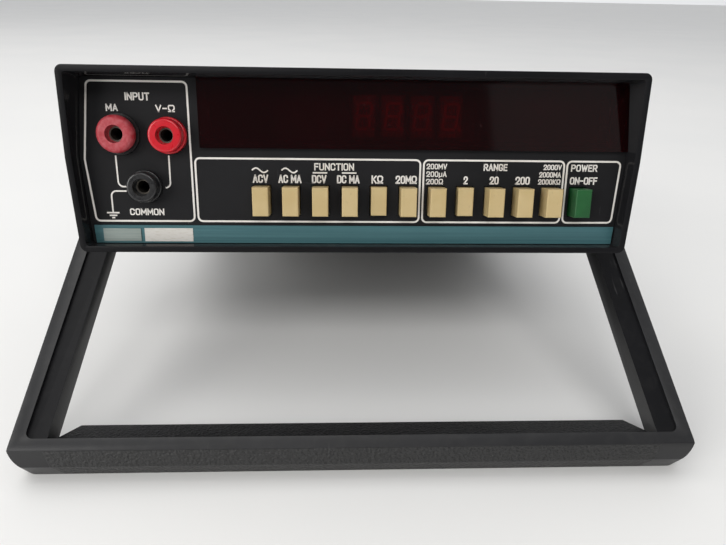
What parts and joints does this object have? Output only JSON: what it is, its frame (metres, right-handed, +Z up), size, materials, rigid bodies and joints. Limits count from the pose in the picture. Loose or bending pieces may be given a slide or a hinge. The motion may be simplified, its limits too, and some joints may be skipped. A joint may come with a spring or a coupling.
{
  "type": "digital multimeter",
  "caption": "Bench digital multimeter: hooded case, push-button panel, tinted display window and banana jacks, standing on a swinging bail handle.",
  "frame": {"origin": "middle of the bounding box, on the surface that the meter stands on", "axes": "+X to the right of the front panel, +Y to the rear, +Z up; the case leans back on its handle by 13.7 degrees"},
  "size_m": [0.2172, 0.2964, 0.1188],
  "materials": {
    "case_plastic": "fine satin moulding, glossier inside the hood",
    "handle_plastic": "satin moulding with a leather grain on the crossbar",
    "panel_plastic": "matt charcoal with white print",
    "window_filter": "dark red tinted acrylic, polished",
    "band_film": "teal satin lacquer",
    "plate_metal": "brushed, blank",
    "label_paper": "off-white vinyl, blank",
    "red_plastic": "gloss moulding",
    "worn_red_plastic": "dusty, worn moulding",
    "black_plastic": "gloss moulding",
    "beige_plastic": "aged cream moulding",
    "green_plastic": "gloss moulding",
    "contact_metal": "nickel-worn brass",
    "zinc_steel": "zinc plated",
    "rubber_black": "matt",
    "board_laminate": "green solder resist",
    "digit_epoxy": "red-tinted epoxy",
    "switch_plastic": "light grey moulding",
    "core_steel": "varnished laminations",
    "winding_tape": "yellow polyester tape",
    "can_sleeve": "blue shrink sleeve",
    "component_epoxy": "moulded epoxy",
    "sink_aluminium": "bare",
    "glass_tube": "clear with end caps",
    "trimmer_plastic": "blue moulding"
  },
  "bodies": {
    "case": {"case_sleeve": "case_plastic", "rubber_feet": "rubber_black", "rear_panel": "case_plastic", "rear_screws": "zinc_steel", "pivot_screws": "zinc_steel", "pivot_nuts": "zinc_steel", "detent_plates": "zinc_steel", "spring_washers": "zinc_steel", "front_panel": "panel_plastic", "display_window": "window_filter", "trim_strip": "band_film", "blank_plate": "plate_metal", "blank_label": "label_paper", "volt_ohm_jack": "red_plastic", "volt_ohm_contact": "contact_metal", "common_jack": "black_plastic", "common_contact": "contact_metal", "jack_nuts": "zinc_steel", "fuse_socket": "worn_red_plastic", "jack_links": "contact_metal", "switch_frame": "zinc_steel", "switch_housings": "switch_plastic", "main_board": "board_laminate", "board_screws": "zinc_steel", "display_board": "board_laminate", "display_screws": "zinc_steel", "display_header": "contact_metal", "led_digits": "digit_epoxy", "input_shield": "zinc_steel", "transformer_core": "core_steel", "transformer_coil": "winding_tape", "filter_capacitors": "can_sleeve", "rectifier": "component_epoxy", "heat_sink": "sink_aluminium", "regulator": "component_epoxy", "logic_chips": "component_epoxy", "precision_resistors": "winding_tape", "trimmers": "trimmer_plastic", "inlet_housing": "black_plastic", "inlet_pins": "zinc_steel", "inlet_links": "contact_metal"},
    "handle_body": {"handle": "handle_plastic", "hub_caps": "handle_plastic"},
    "fused_jack": {"fuse_knob": "worn_red_plastic", "fuse_contact": "contact_metal", "fuse_link": "glass_tube"},
    "function_latch": {"function_latch_bar": "zinc_steel"},
    "range_latch": {"range_latch_bar": "zinc_steel"},
    "button_ac_volts_body": {"button_ac_volts": "beige_plastic"},
    "button_ac_milliamps_body": {"button_ac_milliamps": "beige_plastic"},
    "button_dc_volts_body": {"button_dc_volts": "beige_plastic"},
    "button_dc_milliamps_body": {"button_dc_milliamps": "beige_plastic"},
    "button_kilohms_body": {"button_kilohms": "beige_plastic"},
    "button_20_megohms_body": {"button_20_megohms": "beige_plastic"},
    "button_range_200m_body": {"button_range_200m": "beige_plastic"},
    "button_range_2_body": {"button_range_2": "beige_plastic"},
    "button_range_20_body": {"button_range_20": "beige_plastic"},
    "button_range_200_body": {"button_range_200": "beige_plastic"},
    "button_range_2000_body": {"button_range_2000": "beige_plastic"},
    "button_power_body": {"button_power": "green_plastic"}
  },
  "joints": [
    {"name": "handle_swing", "type": "hinge", "parent": "case", "child": "handle_body", "pos_m": [0, -0.02453, 0.07254], "axis": [1, 0, 0], "range_deg": [-204, 117]},
    {"name": "fused_jack_turn", "type": "hinge", "parent": "case", "child": "fused_jack", "pos_m": [-0.0792, -0.08977, 0.09626], "axis": [0, -0.9716, 0.2368], "range_deg": [0, 90]},
    {"name": "function_latch_slide", "type": "slide", "parent": "case", "child": "function_latch", "axis": [1, 0, 0], "range_m": [0, 0.0012], "stiffness_N_per_m": 150, "springref_m": -0.001},
    {"name": "range_latch_slide", "type": "slide", "parent": "case", "child": "range_latch", "axis": [1, 0, 0], "range_m": [0, 0.0012], "stiffness_N_per_m": 150, "springref_m": -0.001},
    {"name": "button_ac_volts_press", "type": "slide", "parent": "case", "child": "button_ac_volts_body", "axis": [0, 0.9716, -0.2368], "range_m": [0, 0.0037], "stiffness_N_per_m": 120, "springref_m": -0.003},
    {"name": "button_ac_milliamps_press", "type": "slide", "parent": "case", "child": "button_ac_milliamps_body", "axis": [0, 0.9716, -0.2368], "range_m": [0, 0.0037], "stiffness_N_per_m": 120, "springref_m": -0.003},
    {"name": "button_dc_volts_press", "type": "slide", "parent": "case", "child": "button_dc_volts_body", "axis": [0, 0.9716, -0.2368], "range_m": [0, 0.0037], "stiffness_N_per_m": 120, "springref_m": -0.003},
    {"name": "button_dc_milliamps_press", "type": "slide", "parent": "case", "child": "button_dc_milliamps_body", "axis": [0, 0.9716, -0.2368], "range_m": [0, 0.0037], "stiffness_N_per_m": 120, "springref_m": -0.003},
    {"name": "button_kilohms_press", "type": "slide", "parent": "case", "child": "button_kilohms_body", "axis": [0, 0.9716, -0.2368], "range_m": [-0.0032, 0.0005]},
    {"name": "button_20_megohms_press", "type": "slide", "parent": "case", "child": "button_20_megohms_body", "axis": [0, 0.9716, -0.2368], "range_m": [0, 0.0037], "stiffness_N_per_m": 120, "springref_m": -0.003},
    {"name": "button_range_200m_press", "type": "slide", "parent": "case", "child": "button_range_200m_body", "axis": [0, 0.9716, -0.2368], "range_m": [0, 0.0037], "stiffness_N_per_m": 120, "springref_m": -0.003},
    {"name": "button_range_2_press", "type": "slide", "parent": "case", "child": "button_range_2_body", "axis": [0, 0.9716, -0.2368], "range_m": [-0.0032, 0.0005]},
    {"name": "button_range_20_press", "type": "slide", "parent": "case", "child": "button_range_20_body", "axis": [0, 0.9716, -0.2368], "range_m": [0, 0.0037], "stiffness_N_per_m": 120, "springref_m": -0.003},
    {"name": "button_range_200_press", "type": "slide", "parent": "case", "child": "button_range_200_body", "axis": [0, 0.9716, -0.2368], "range_m": [0, 0.0037], "stiffness_N_per_m": 120, "springref_m": -0.003},
    {"name": "button_range_2000_press", "type": "slide", "parent": "case", "child": "button_range_2000_body", "axis": [0, 0.9716, -0.2368], "range_m": [0, 0.0037], "stiffness_N_per_m": 120, "springref_m": -0.003},
    {"name": "button_power_press", "type": "slide", "parent": "case", "child": "button_power_body", "axis": [0, 0.9716, -0.2368], "range_m": [0, 0.0037], "stiffness_N_per_m": 120, "springref_m": -0.003}
  ]
}
